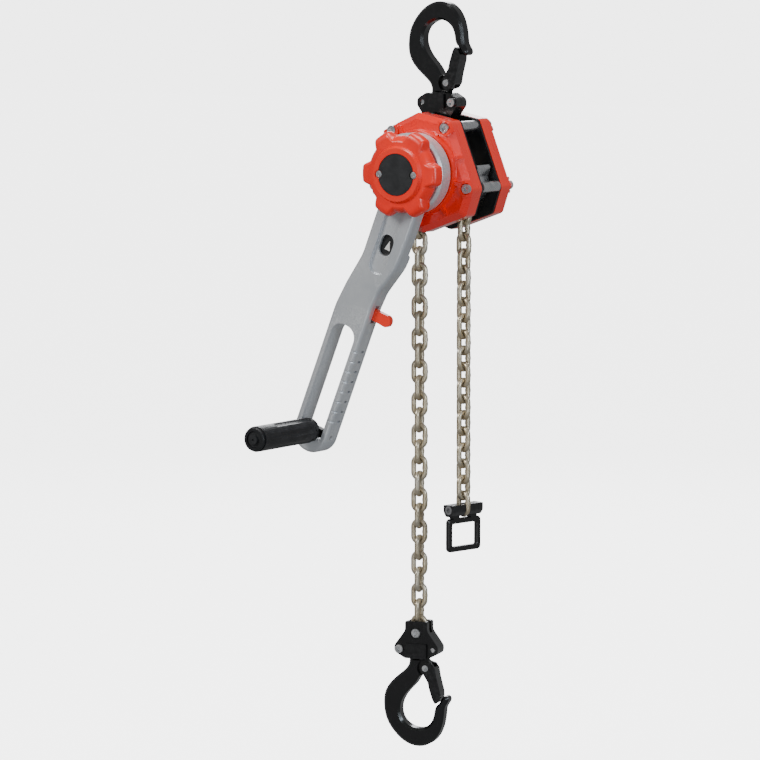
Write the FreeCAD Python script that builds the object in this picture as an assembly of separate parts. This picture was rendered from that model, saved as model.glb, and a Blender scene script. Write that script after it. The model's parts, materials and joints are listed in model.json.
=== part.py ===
"""Lever chain hoist with a cranked hand lever, fold-out crank grip and two swivel hooks.

Frame: +Z up. The origin is the load seat inside the top hook's bowl, from which
the hoist hangs. -Y is the hand-knob side, +Y the gear-case side, X runs across
the two chain falls (load fall at -X, slack fall at +X). Units are millimetres.
Everything is drawn first about the load sheave's centre, then moved down.
"""
import FreeCAD
import Part
import math
import os

V = FreeCAD.Vector
os.makedirs("parts", exist_ok=True)

# ------------------------------------------------------------------ driving sizes
PITCH = 17.0            # load chain 5.6 x 17
WIRE = 5.56             # wire diameter, less running clearance
LINK_HW = 6.45          # half width to the wire's centre
POCKETS = 5
BEND = math.pi / POCKETS                # turn between two neighbouring links on the sheave
HALF_U = PITCH / 2.0 - WIRE / 2.0 - 0.02    # edge-on link: centre to bend point
HALF_F = PITCH - HALF_U                 # flat link: centre to bend point
ANG_U = math.atan2(HALF_U * math.sin(BEND), HALF_F + HALF_U * math.cos(BEND))
ANG_F = BEND - ANG_U
R_HINGE = HALF_U / math.sin(ANG_U)      # circle of the bend points
R_U = R_HINGE * math.cos(ANG_U)         # circle of the edge-on links' centres
R_F = R_HINGE * math.cos(ANG_F)         # circle of the flat links' centres
OVER = ANG_F - BEND / 2.0               # how far the last flat link hangs past the sheave's centre line
FALL_X = R_HINGE * math.cos(OVER)
FALL_Z = -(R_HINGE * math.sin(OVER) + HALF_U)   # centre of each fall's first link
LOAD_LINKS = 28
TAIL_LINKS = 21
LOAD_YAW = 12.0         # the load fall's slow twist, degrees
TAIL_YAW = -12.0
ENTRY_LINKS = 3         # links inside the case that feed on and off the sheave
YAW_FREE = 3            # links that hang square below the sheave
YAW_RAMP = 4            # links over which the twist builds up

PLATE_IN = 16.0         # inner faces of the side plates
PLATE_T = 3.0
COVER_F = -46.0         # front face of the brake cover
OUTLINE = [(-6, 62), (34.5, 54), (62, -16), (52.5, -44), (0, -63),
           (-52.5, -44), (-62, -16), (-52, 36), (-46, 44)]
STAYS = [(30, 47), (57, -15), (-57, -15), (-35, 43)]
STAY_R = 5.75

SHAFT_R = 5.9
MODULE = 1.25
Z_PINION, Z_WHEEL, Z_SMALL, Z_LOAD = 12, 33, 14, 31
GEAR_A = MODULE * (Z_PINION + Z_WHEEL) / 2.0

LEVER_TILT = 21.8       # lean of the lever towards the load fall, degrees
LEVER_Y0, LEVER_Y1 = -66.0, -50.0
LEVER_Y2 = -43.5        # back of the deeper part, clear of the covers
HUB_R = 42.0
GRIP_S = 299.5          # lever pivot to grip hinge
GRIP_T = -11.2
GRIP_LEN = 114.0
SLOT_TOP = 178.0
KNOB_FACE = -88.0

BLOCK_TOP_Z = 71.8      # lug line of the top hook block
BLOCK_BOT_Z = -511.5    # lug line of the bottom hook block (reset from the chain below)
PIN_UP = 17.5           # lug line to chain pin
HOOK_T = 15.0
SEAT_H = 75.8           # block face to bowl seat


# ------------------------------------------------------------------ helpers
def cyl_y(r, y0, y1, x=0.0, z=0.0):
    return Part.makeCylinder(r, y1 - y0, V(x, y0, z), V(0, 1, 0))


def cyl_z(r, z0, z1, x=0.0, y=0.0):
    return Part.makeCylinder(r, z1 - z0, V(x, y, z0), V(0, 0, 1))


def cyl_x(r, x0, x1, y=0.0, z=0.0):
    return Part.makeCylinder(r, x1 - x0, V(x0, y, z), V(1, 0, 0))


def cone_y(r0, r1, y0, y1, x=0.0, z=0.0):
    return Part.makeCone(r0, r1, y1 - y0, V(x, y0, z), V(0, 1, 0))


def box(x0, y0, z0, x1, y1, z1):
    return Part.makeBox(x1 - x0, y1 - y0, z1 - z0, V(x0, y0, z0))


def hexa_y(af, y0, y1, x=0.0, z=0.0):
    r = af / math.sqrt(3.0)
    pts = [V(x + r * math.cos(math.radians(60 * i)), y0, z + r * math.sin(math.radians(60 * i))) for i in range(7)]
    return Part.Face(Part.makePolygon(pts)).extrude(V(0, y1 - y0, 0))


def poly_y(pts, y0, y1, radius=0.0):
    """Prism along Y of a polygon in X, Z, with rounded corners."""
    return Part.Face(poly_wire(pts, y0, radius)).extrude(V(0, y1 - y0, 0))


def poly_wire(pts, y, radius=0.0):
    n = len(pts)
    if not isinstance(radius, (list, tuple)) and radius <= 0:
        return Part.makePolygon([V(p[0], y, p[1]) for p in pts] + [V(pts[0][0], y, pts[0][1])])
    edges, starts = [], []
    for i in range(n):
        p0, p1, p2 = V(pts[i - 1][0], 0, pts[i - 1][1]), V(pts[i][0], 0, pts[i][1]), V(pts[(i + 1) % n][0], 0, pts[(i + 1) % n][1])
        a, b = (p0 - p1), (p2 - p1)
        la, lb = a.Length, b.Length
        a.normalize()
        b.normalize()
        ang = math.acos(max(-1, min(1, a.dot(b))))
        r = radius if not isinstance(radius, (list, tuple)) else radius[i]
        if math.pi - ang < 0.02:
            starts.append((p1, p1, p1))
            continue
        t = min(r / math.tan(ang / 2.0), 0.48 * la, 0.48 * lb)
        r = t * math.tan(ang / 2.0)
        s, e = p1 + a * t, p1 + b * t
        bis = a + b
        bis.normalize()
        mid = p1 + bis * (r / math.sin(ang / 2.0) - r)
        starts.append((s, mid, e))
    for i in range(n):
        s, mid, e = starts[i]
        off = V(0, y, 0)
        if (e - s).Length > 1e-6:
            edges.append(Part.Arc(s + off, mid + off, e + off).toShape())
        ns = starts[(i + 1) % n][0]
        if (ns - e).Length > 1e-6:
            edges.append(Part.LineSegment(e + off, ns + off).toShape())
    return Part.Wire(edges)


def inset(pts, d):
    """Polygon (clockwise or not) moved inwards by d along each edge's normal."""
    n = len(pts)
    area = sum(pts[i][0] * pts[(i + 1) % n][1] - pts[(i + 1) % n][0] * pts[i][1] for i in range(n))
    sgn = 1.0 if area > 0 else -1.0
    lines = []
    for i in range(n):
        x0, z0 = pts[i]
        x1, z1 = pts[(i + 1) % n]
        dx, dz = x1 - x0, z1 - z0
        l = math.hypot(dx, dz)
        nx, nz = -dz / l * sgn, dx / l * sgn
        lines.append((x0 + nx * d, z0 + nz * d, dx / l, dz / l))
    out = []
    for i in range(n):
        x0, z0, ux, uz = lines[i - 1]
        x1, z1, vx, vz = lines[i]
        den = ux * vz - uz * vx
        t = ((x1 - x0) * vz - (z1 - z0) * vx) / den
        out.append((x0 + ux * t, z0 + uz * t))
    return out


def fuse(*shapes):
    s = shapes[0]
    if len(shapes) > 1:
        s = s.multiFuse(list(shapes[1:]))
    return s.removeSplitter()


def cut(a, *tools):
    return a.cut(tools[0]) if len(tools) == 1 else a.cut(list(tools))


def rounded(shape, r, pick=None, chamfer=False):
    """Fillets the picked edges, as many as will take it."""
    edges = [e for e in shape.Edges if pick is None or pick(e)]
    try:
        s = shape.makeChamfer(r, edges) if chamfer else shape.makeFillet(r, edges)
        if s.isValid() and s.Volume > 0:
            return s
    except Exception:
        pass
    s = shape
    for _ in range(2):
        break
    return s


def turn(shape, deg, centre=V(0, 0, 0), axis=V(0, 0, 1)):
    s = shape.copy()
    s.rotate(centre, axis, deg)
    return s


def shift(shape, x=0.0, y=0.0, z=0.0):
    s = shape.copy()
    s.translate(V(x, y, z))
    return s


PARTS = {}


def add(node, *shapes):
    PARTS.setdefault(node, []).extend(shapes)


# ------------------------------------------------------------------ chain
def link(upright=True):
    """One link about the origin, long way up Z. upright: in the XZ plane; else in the YZ plane."""
    hs = PITCH / 2.0 + WIRE / 2.0 + 0.02 - LINK_HW      # half of the straight bars
    r = WIRE / 2.0
    bars = [cyl_z(r, -hs, hs, x=sx * LINK_HW) for sx in (-1, 1)]
    ends = []
    for s in (1, -1):
        c = Part.Face(Part.Wire(Part.Circle(V(LINK_HW, 0, s * hs), V(0, 0, 1), r).toShape()))
        ends.append(c.revolve(V(0, 0, s * hs), V(0, -s, 0), 180))
    body = bars[0].multiFuse([bars[1]] + ends).removeSplitter()
    weld = cyl_z(r + 0.35, -1.6, 1.6, x=LINK_HW)
    body = body.fuse(weld).removeSplitter()
    return body if upright else turn(body, 90)


LINK_U, LINK_F = link(True), link(False)


def fall_yaw(i, full):
    return full * max(0.0, min(1.0, (i - YAW_FREE + 1) / float(YAW_RAMP)))


def fall(x, count, full_yaw):
    out = []
    for i in range(count):
        s = turn(LINK_U if i % 2 == 0 else LINK_F, fall_yaw(i, full_yaw))
        out.append(shift(s, x=x, z=FALL_Z - i * PITCH))
    return out


# ------------------------------------------------------------------ gears
def gear(z, m, y0, y1, phase=0.0, bore=0.0, backlash=0.16, x=0.0, zz=0.0, add_r=None):
    """Involute spur gear along Y. phase is the angle of one tooth's centre in the XZ plane, from +X to +Z."""
    pa = math.radians(20)
    rp = m * z / 2.0
    rb = rp * math.cos(pa)
    ra = rp + (m * 0.95 if add_r is None else add_r)
    rr = rp - 1.25 * m
    inv = math.tan(pa) - pa
    half = math.pi / (2 * z) - backlash / (2 * rp)

    def ang(r):
        if r <= rb:
            return half + inv
        a = math.acos(rb / r)
        return half + inv - (math.tan(a) - a)

    radii = [rr] + [max(rb, rr + 0.01) + (ra - max(rb, rr + 0.01)) * k / 5.0 for k in range(6)]
    pts = []
    for i in range(z):
        c = phase + 2 * math.pi * i / z
        flank = [(r, ang(r)) for r in radii]
        for r, a in flank:
            pts.append((r * math.cos(c - a), r * math.sin(c - a)))
        for r, a in reversed(flank):
            pts.append((r * math.cos(c + a), r * math.sin(c + a)))
    body = poly_y([(x + p[0], zz + p[1]) for p in pts], y0, y1)
    if bore:
        body = cut(body, cyl_y(bore, y0 - 1, y1 + 1, x, zz))
    return body


def mesh_phase(z1, ph1, z2, theta):
    """Phase of gear 2, which lies at angle theta from gear 1, so that the pair is in mesh."""
    return theta + math.pi + (2 * math.pi / z2) * (0.5 - z1 * (ph1 - theta) / (2 * math.pi))


# ------------------------------------------------------------------ hooks
HOOK_OUTER = [(-9.2, 0), (-9.6, 7), (-18.5, 17), (-30, 27.5), (-36.4, 38), (-38, 51), (-35.4, 66), (-26.5, 80.5),
              (-13, 91.5), (0, 95), (12.5, 92.3), (22.5, 83.4), (28, 71), (30.2, 58), (31.6, 50.5), (34.6, 45.6),
              (35.2, 42), (32.6, 39.4), (28.9, 40.6), (25.4, 46.5), (21.3, 51.0)]
HOOK_INNER = [(19.4, 57), (17.8, 64), (12.2, 71.9), (2, 75.8), (-8.5, 73.6), (-16.6, 66.8), (-19.7, 56), (-17.3, 46.0),
              (-9.5, 35), (-0.5, 24.5), (4.0, 18.6), (9.6, 17.6), (14.6, 13.2), (15.3, 8.2), (12.6, 4.0), (9.6, 0)]


def hook_body():
    """Hook plate in the XZ plane: block face at z = 0, bowl below it. Its mouth opens to +X."""
    pts = [V(x, -HOOK_T / 2.0, -h) for x, h in HOOK_OUTER + HOOK_INNER]
    e1 = Part.BSplineCurve()
    e1.interpolate(pts)
    wire = Part.Wire([e1.toShape(), Part.makeLine(pts[-1], pts[0])])
    plate = Part.Face(wire).extrude(V(0, HOOK_T, 0))
    r = rounded(plate, 4.2, lambda e: e.Length > 60)
    if r.Volume >= plate.Volume - 1e-6:
        r = rounded(plate, 2.5, lambda e: e.Length > 60, chamfer=True)
    plate = r
    # the latch lug is machined narrow between the latch cheeks
    for s in (-1, 1):
        lug = cyl_y(9.4, 0, 20, 9.8, -10.5)
        lug = shift(lug, y=(4.3 if s > 0 else -24.3))
        plate = plate.cut(lug)
    plate = plate.cut(cyl_y(5.2, -6, -3.1, 9.8, -10.5).cut(cyl_y(3.4, -7, -2, 9.8, -10.5)))
    neck = cyl_z(6.5, -2, 12.0)
    head = cyl_z(8.9, 8.7, 14.2)
    flange = Part.makeCone(9.2, 7.4, 2.0, V(0, 0, -2.2))
    return fuse(plate.cut(cyl_y(2.55, -20, 20, 9.8, -10.5)), neck, head, flange)


def hook_latch():
    """Cast latch with two cheeks on the pin and a beak that closes on the hook's point."""
    prof = [(4.3, 10.5), (6.0, 5.2), (11.0, 3.6), (17.0, 5.4), (20.5, 10.5), (22.2, 20), (26.2, 35), (26.4, 41),
            (23.4, 46.4), (20.4, 48.6), (17.4, 43.5), (13.9, 33), (12.2, 25.5), (6.9, 16.6)]
    outer = Part.Face(poly_wire([(x, -h) for x, h in prof], -7.2, 2.2)).extrude(V(0, 14.4, 0))
    slot = box(-2, -4.55, -22.5, 19.4, 4.55, 2)
    slot2 = box(-2, -4.55, -60, 13.6, 4.55, -20)
    body = outer.cut(slot).cut(slot2)
    inner = poly_y([(16.6, -27), (20.4, -27), (22.6, -38), (19.4, -38)], -4.55, 4.55)
    body = body.cut(inner)
    body = body.cut(cyl_y(2.55, -20, 20, 9.8, -10.5))
    return body


def latch_pin():
    return fuse(cyl_y(2.45, -8.2, 8.2, 9.8, -10.5), cyl_y(3.4, -8.7, -7.35, 9.8, -10.5), cyl_y(3.4, 7.35, 8.7, 9.8, -10.5))


def latch_spring():
    """Torsion spring in a recess of the hook's latch lug, as a ring."""
    return Part.makeTorus(4.3, 0.45, V(9.8, -3.75, -10.5), V(0, 1, 0))


def block_half(front, chain, band_hw):
    """Half of a clamp block. Lug line at z = 0, hook side down, narrow end up."""
    prof = [(-12.5, 30), (12.5, 30), (12.5, 20), (24.6, 3.5), (24.6, -3.5), (13.5, -9.6), (-13.5, -9.6),
            (-24.6, -3.5), (-24.6, 3.5), (-12.5, 20)]
    body = poly_y(prof, -9.5, -0.12, [2.2, 2.2, 8, 6, 6, 2, 2, 6, 6, 8])
    band = poly_y([(-band_hw, 6.2), (band_hw, 6.2), (band_hw, -9.6), (-band_hw, -9.6)], -12.0, -5.0, 1.3)
    body = fuse(body, band)
    body = body.cut(cyl_z(9.25, -3.0, 6.6))
    body = body.cut(cyl_z(6.6, -12, 0))
    for sx in (-1, 1):
        body = body.cut(cyl_y(2.6, -14, 1, sx * 18.5, 0))
    body = body.cut(cyl_y(5.0, -12, -8.3, -18.5 if front else 18.5, 0))
    body = body.cut(cyl_y(3.05, -14, 1, 0, PIN_UP))
    body = body.cut(cyl_y(6.6, -12, -8.2, 0, PIN_UP))
    if chain:
        body = body.cut(poly_y([(-14, 8.4), (14, 8.4), (14, 40), (-14, 40)], -3.25, 3.25))
        body = body.cut(cyl_x(9.9, -8.5, 8.5, 0, 23.0 + PITCH - 4.85))
    else:
        body = body.cut(box(-7.5, -3.4, 24.5, 7.5, 3.4, 31))
    if not front:
        body = body.mirror(V(0, 0, 0), V(0, 1, 0))
    return body


def block_set(chain, band_hw):
    """The clamp block's pieces by name, drawn hook side down."""
    out = {"front": block_half(True, chain, band_hw), "rear": block_half(False, chain, band_hw)}
    # left lug: socket head in front, right lug: socket head behind
    bolt_l = fuse(cyl_y(2.5, -10, 8.0, -18.5, 0), cyl_y(4.4, -12.6, -8.3, -18.5, 0)).cut(hexa_y(4.4, -13, -10.2, -18.5, 0))
    bolt_r = fuse(cyl_y(2.5, -8.0, 10, 18.5, 0), cyl_y(4.4, 8.3, 12.6, 18.5, 0)).cut(hexa_y(4.4, 10.2, 13, 18.5, 0))
    out["bolts"] = [bolt_l, bolt_r]
    pin = fuse(cyl_y(3.0, -9, 9, 0, PIN_UP), cyl_y(4.7, -11.2, -8.2, 0, PIN_UP)).cut(hexa_y(4.6, -12, -9.4, 0, PIN_UP))
    pin = fuse(pin, hexa_y(8.6, 8.3, 11.2, 0, PIN_UP))
    out["pin"] = pin
    return out


def place_block(shape, z, yaw=0.0, x=0.0, invert=False):
    s = shape.copy()
    if invert:
        s.rotate(V(0, 0, 0), V(0, 1, 0), 180)
    s.rotate(V(0, 0, 0), V(0, 0, 1), yaw)
    s.translate(V(x, 0, z))
    return s


# ================================================================== frame
inner_outline = inset(OUTLINE, 0.5)


def side_plate(y0, y1, rear):
    p = poly_y(inner_outline, y0, y1, 5.0)
    p = p.cut(cyl_y(14.0, y0 - 1, y1 + 1))
    for x, z in STAYS:
        p = p.cut(cyl_y(3.15, y0 - 1, y1 + 1, x, z))
    for x, z in GUIDE_PINS:
        p = p.cut(cyl_y(1.6, y0 - 1, y1 + 1, x, z))
    p = p.cut(cyl_y(4.05, y0 - 1, y1 + 1, 0, BLOCK_TOP_Z - PIN_UP))
    if rear:
        for sx in (-1, 1):
            p = p.cut(cyl_y(5.05, y0 - 1, y1 + 1, sx * GEAR_A, 0))
    else:
        for sx in (-1, 1):
            p = p.cut(cyl_y(3.05, y0 - 1, y1 + 1, sx * PAWL_P[0], sx * PAWL_P[1]))
    return p


PAWL_P = (33.0, -27.0)
GUIDE_PINS = [(-8, -44), (8, -44), (-44.5, -1.2), (44.5, -1.2)]
RATCHET_R = 30.0

add("front_side_plate", side_plate(-PLATE_IN - PLATE_T, -PLATE_IN, False))
add("rear_side_plate", side_plate(PLATE_IN, PLATE_IN + PLATE_T, True))

# stay bars: spacer barrels with threaded ends through both covers
for x, z in STAYS:
    s = fuse(cyl_y(STAY_R, -15.95, 15.95, x, z), cyl_y(3.0, -40.9, 40.0, x, z))
    add("stay_bars", s)

# suspension pin through both plates
add("suspension_pin", fuse(cyl_y(4.0, -21.5, 20.4, 0, BLOCK_TOP_Z - PIN_UP), cyl_y(6.2, -23.0, -19.2, 0, BLOCK_TOP_Z - PIN_UP), cyl_y(6.2, 19.2, 20.4, 0, BLOCK_TOP_Z - PIN_UP)))


def cover_shell(sign, y_edge, y_bevel, y_face, bevel):
    """Pressed cover: straight rim, bevel all round and a flat face. Drawn for +Y, mirrored for -Y."""
    o = OUTLINE
    f = inset(OUTLINE, bevel)
    prism = poly_y(o, y_edge, y_bevel, 6.0)
    top = Part.makeLoft([poly_wire(o, y_bevel, 6.0), poly_wire(f, y_face, 5.0)], True, True)
    body = fuse(prism, top)
    ci, cf = inset(OUTLINE, 2.6), inset(OUTLINE, bevel + 2.6)
    cav = fuse(poly_y(ci, y_edge - 1, y_bevel - 1.0, 4.0),
               Part.makeLoft([poly_wire(ci, y_bevel - 1.0, 4.0), poly_wire(cf, y_face - 2.6, 3.0)], True, True))
    return body, cav


# front (brake) cover, drawn at +Y then mirrored
body, cav = cover_shell(1, 19.05, 35.5, 41.5, 6.0)
boss = fuse(cone_y(47.0, 43.5, 36.0, 46.5), cyl_y(43.5, 46.5, 47.2))
boss_cav = fuse(cone_y(44.0, 40.8, 30.0, 44.2))
ribs = []
for a in (62, 20, -12, -52, -90, -128, -168, 160, 118):
    r = Part.makeBox(16, 8.5, 3.2, V(38, 35.5, -1.6))
    r.rotate(V(0, 0, 0), V(0, 1, 0), -a)
    ribs.append(r)
posts = [cyl_y(9.0, 20.5, 43.8, x, z) for x, z in STAYS]
lim = Part.makeLoft([poly_wire(OUTLINE, 36.5, 6.0), poly_wire(inset(OUTLINE, 2.2), 43.8, 5.0)], True, True)
extra = fuse(*(ribs + posts)).common(fuse(lim, poly_y(OUTLINE, 19.05, 36.5, 6.0)))
front = fuse(body, boss)
front = front.cut(fuse(cav, boss_cav))
front = fuse(front, extra)
front = front.cut(cyl_y(38.5, 19, 44.2))
front = front.cut(cyl_y(26.0, 19, 50))
for x, z in STAYS:
    front = front.cut(cyl_y(3.1, 15, 50, x, z))
    front = front.cut(cyl_y(5.9, 39.9, 50, x, z))
front = front.cut(cyl_y(7.2, 18, 24.5, 0, BLOCK_TOP_Z - PIN_UP))
front = front.mirror(V(0, 0, 0), V(0, 1, 0))
add("brake_cover", front)

# rear (gear) cover
body, cav = cover_shell(1, 19.05, 36.5, 45.0, 9.0)
dome = fuse(cone_y(40.0, 34.0, 40.0, 51.0))
dome_cav = cone_y(37.6, 31.6, 38.5, 48.6)
posts = [cyl_y(8.6, 20.5, 43.0, x, z) for x, z in STAYS]
extra = fuse(*posts).common(fuse(poly_y(OUTLINE, 19.05, 36.5, 6.0), Part.makeLoft([poly_wire(OUTLINE, 36.5, 6.0), poly_wire(inset(OUTLINE, 2.2), 43.0, 5.0)], True, True)))
extra = extra.cut(cyl_y(22.4, 31.0, 40.0, GEAR_A, 0)).cut(cyl_y(22.4, 31.0, 40.0, -GEAR_A, 0))
rear = fuse(body, dome).cut(fuse(cav, dome_cav))
rear = fuse(rear, extra)
for a in (0, 60, 120):
    g = box(-24, 49.6, -1.6, 24, 53, 1.6)
    g.rotate(V(0, 0, 0), V(0, 1, 0), a)
    rear = rear.cut(g)
for x, z in STAYS:
    rear = rear.cut(cyl_y(3.1, 15, 50, x, z))
    rear = rear.cut(cyl_y(5.9, 38.95, 50, x, z))
rear = rear.cut(cyl_y(6.6, 18, 21.2, 0, BLOCK_TOP_Z - PIN_UP))
for sx in (-1, 1):
    rear = rear.cut(cyl_y(22.4, 31.0, 40.0, sx * GEAR_A, 0))
add("gear_cover", rear)

# cap nuts on the stay bars
for x, z in STAYS:
    n = cyl_y(4.9, -43.4, -39.95, x, z).cut(hexa_y(5.2, -44, -41.4, x, z)).cut(cyl_y(3.05, -41.2, -39, x, z))
    add("cover_nuts", n)
    n = cyl_y(4.9, 39.0, 42.4, x, z).cut(hexa_y(5.2, 40.6, 46, x, z)).cut(cyl_y(3.05, 38, 40.2, x, z))
    add("cover_nuts", n)

# chain guide below the sheave, between the falls, and the guard on the slack side
gp = [(-14.5, -31.5), (14.5, -31.5), (15.5, -50), (8, -55.5), (-8, -55.5), (-15.5, -50)]
guide = poly_y(gp, -15.9, 15.9, 2.0)
guide = guide.cut(cyl_y(30.2, -17, 17))
for sx in (-1, 1):
    guide = guide.cut(cyl_y(1.6, -17, 17, sx * 8, -44))
add("chain_guide", guide)
add("guide_pins", cyl_y(1.55, -18.9, 18.9, -8, -44), cyl_y(1.55, -18.9, 18.9, 8, -44))


def guard(sign):
    """Bent strip that keeps the chain in its pockets, hooked over the lower stay."""
    t = 1.6
    outer = [(41.5, 3.0), (50.5, 7.5), (52.2, 4.8), (49.2, -4.5), (50.6, -10.0), (50.0, -18.0), (47.0, -24.0),
             (42.5, -29.0), (41.0, -27.4), (45.3, -22.9), (48.0, -17.4), (48.7, -10.2), (47.2, -4.3), (49.6, 4.4), (42.3, 1.2)]
    pts = [(sign * x, z) for x, z in outer]
    g = poly_y(pts, -12.5, 12.5, 0.0)
    return g


add("chain_guards", guard(1), guard(-1))
g_pins = []
for sx in (-1, 1):
    g_pins.append(cyl_y(1.5, -18.9, 18.9, sx * 44.5, -1.2))
add("guide_pins", *g_pins)

# sheave bearings: plain rings in the side plates
for s, n in ((-1, "sheave_bearings"), (1, "sheave_bearings")):
    y0, y1 = (13.2, 20.5)
    b = fuse(cyl_y(13.97, y0, y1), cyl_y(15.2, 13.2, 15.9)).cut(cyl_y(10.05, y0 - 1, y1 + 1))
    if s < 0:
        b = b.mirror(V(0, 0, 0), V(0, 1, 0))
    add(n, b)

# ================================================================== sheave
pent = []
POCKET_R = R_F - WIRE / 2.0 - 0.6
for k in range(POCKETS):
    a = math.pi / 2 + math.pi / POCKETS + 2 * math.pi * k / POCKETS
    pent.append((POCKET_R / math.cos(math.pi / POCKETS) * math.cos(a), POCKET_R / math.cos(math.pi / POCKETS) * math.sin(a)))
core = poly_y(pent, -9.9, 9.9).common(cyl_y(26.3, -10, 10))
core = core.cut(cyl_y(40, -3.6, 3.6).cut(cyl_y(15.2, -4, 4)))
sheave = fuse(core, cyl_y(15.2, -9, 9), cyl_y(27.0, 9.9, 13.0), cyl_y(27.0, -13.0, -9.9), cyl_y(10.0, -21.5, -12), cyl_y(10.0, 12, 21.5), cyl_y(8.2, 21.5, 30.5))
sheave = sheave.cut(cyl_y(SHAFT_R + 0.06, -30, 40))
add("load_sheave", sheave)
PH_LOAD = 0.0
load_gear = gear(Z_LOAD, MODULE, 22.2, 29.2, PH_LOAD, bore=8.25)
for a in range(0, 360, 60):
    load_gear = load_gear.cut(cyl_y(2.4, 20, 32, 13.2 * math.cos(math.radians(a + 30)), 13.2 * math.sin(math.radians(a + 30))))
add("load_gear", load_gear)

for k in range(POCKETS):
    a = math.pi - BEND * (k + 0.5)
    s, r = (LINK_F, R_F) if k % 2 == 0 else (LINK_U, R_U)
    s = turn(s, -(math.degrees(a)), axis=V(0, 1, 0))
    add("chain_over_sheave", shift(s, x=r * math.cos(a), z=r * math.sin(a)))

# ================================================================== gear train
PH_PINION = 0.0
pinion = gear(Z_PINION, MODULE, 32.2, 39.5, PH_PINION)
shaft = fuse(cyl_y(SHAFT_R, -62.0, 33.0), pinion, cyl_y(4.0, 39.0, 42.1), cyl_y(4.0, -82.0, -60.0))
shaft = shaft.cut(box(-1.0, -82.5, -6, 1.0, -79.0, 6))
add("drive_shaft", shaft)
for sx, name in ((1, "intermediate_gear_a"), (-1, "intermediate_gear_b")):
    th = 0.0 if sx > 0 else math.pi
    wheel = gear(Z_WHEEL, MODULE, 33.0, 39.5, mesh_phase(Z_PINION, PH_PINION, Z_WHEEL, th), x=sx * GEAR_A)
    for a in range(0, 360, 90):
        wheel = wheel.cut(cyl_y(3.0, 30, 42, sx * GEAR_A + 13.5 * math.cos(math.radians(a + 45)), 13.5 * math.sin(math.radians(a + 45))))
    small = gear(Z_SMALL, MODULE, 21.6, 33.0, mesh_phase(Z_LOAD, PH_LOAD, Z_SMALL, th), x=sx * GEAR_A)
    g = fuse(wheel, small, cyl_y(4.95, 16.4, 22.0, sx * GEAR_A), cyl_y(4.0, 39.0, 42.1, sx * GEAR_A))
    add(name, g)

# support plate over the gears, on three posts
sup = poly_y([(-38, 12), (-30, 20), (30, 20), (38, 12), (38, -12), (30, -20), (-30, -20), (-38, -12)], 39.8, 42.1, 4.0)
sup = sup.cut(cyl_y(4.06, 38, 50)).cut(cyl_y(4.06, 38, 50, GEAR_A)).cut(cyl_y(4.06, 38, 50, -GEAR_A))
for x, z in ((0, 33.0), (0, -33.0)):
    arm = poly_y([(-6, math.copysign(15, z)), (6, math.copysign(15, z)), (6, z + math.copysign(5, z)), (-6, z + math.copysign(5, z))], 39.8, 42.1)
    sup = fuse(sup, arm, cyl_y(4.5, 19.1, 41.0, x, z))
add("gear_support_plate", sup)

# ================================================================== load brake
add("brake_flange", fuse(cyl_y(27.5, -24.6, -21.9), cyl_y(11.5, -34.4, -24.6)).cut(cyl_y(SHAFT_R + 0.02, -40, -10)))
add("friction_discs", cyl_y(25.5, -27.2, -24.65).cut(cyl_y(12.0, -30, -20)), cyl_y(25.5, -34.4, -31.85).cut(cyl_y(12.0, -40, -30)))


def ratchet(n, r_tip, r_root, y0, y1, bore, phase=0.0):
    pts = []
    for i in range(n):
        a0 = phase + 2 * math.pi * i / n
        a1 = phase + 2 * math.pi * (i + 0.86) / n
        pts.append((r_root * math.cos(a0), r_root * math.sin(a0)))
        pts.append((r_tip * math.cos(a1), r_tip * math.sin(a1)))
        pts.append((r_tip * math.cos(a1 + 0.055), r_tip * math.sin(a1 + 0.055)))
    return poly_y(pts, y0, y1).cut(cyl_y(bore, y0 - 1, y1 + 1))


add("brake_ratchet_disc", ratchet(16, RATCHET_R, 26.4, -31.8, -27.25, 11.56))


def brake_pawl(sx):
    px, pz = PAWL_P
    prof = [(px - 4.6, pz - 2.0), (px - 1.0, pz - 4.8), (px + 4.6, pz - 1.5), (px + 4.2, pz + 3.5), (px - 1.2, pz + 11.0), (px - 4.3, pz + 9.6), (px - 4.2, pz + 4.0)]
    p = poly_y([(sx * x, sx * z) for x, z in prof], -31.6, -27.4, 0.8)
    return p.cut(cyl_y(3.06, -33, -26, sx * px, sx * pz))


for sx, n in ((1, "brake_pawl_a"), (-1, "brake_pawl_b")):
    add(n, brake_pawl(sx))
    add("brake_pawl_fittings", fuse(cyl_y(3.0, -33.4, -16.2, sx * PAWL_P[0], sx * PAWL_P[1]), cyl_y(4.4, -26.9, -19.1, sx * PAWL_P[0], sx * PAWL_P[1])))
    spr = Part.makeTorus(5.0, 0.6, V(sx * PAWL_P[0], -32.6, sx * PAWL_P[1]), V(0, 1, 0))
    add("brake_pawl_fittings", spr)

# drive wheel: nut on the shaft's thread, with the lever's ratchet teeth
DRIVE_PH = math.radians(4.0)
drive = ratchet(12, 17.5, 14.6, -56.0, -50.9, SHAFT_R + 0.05, DRIVE_PH)
drive = fuse(drive, cyl_y(25.3, -37.2, -34.45), cyl_y(13.4, -50.9, -37.2), cyl_y(11.8, -61.5, -56.0)).cut(cyl_y(SHAFT_R + 0.05, -70, -30))
add("drive_wheel", drive)

# ================================================================== knob
def knob_wire(y, r_out, depth, rot=0.0):
    pts = []
    n = 144
    for i in range(n):
        a = 2 * math.pi * i / n
        d = abs((math.degrees(a - rot) + 30.0) % 60.0 - 30.0)     # from the nearest lobe's middle
        k = max(0.0, min(1.0, (d - 9.5) / 11.0))
        r = r_out - depth * k * k * (3 - 2 * k)
        pts.append(V(r * math.cos(a), y, r * math.sin(a)))
    b = Part.BSplineCurve()
    b.interpolate(Points=pts, PeriodicFlag=True)
    return Part.Wire([b.toShape()])


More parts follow.
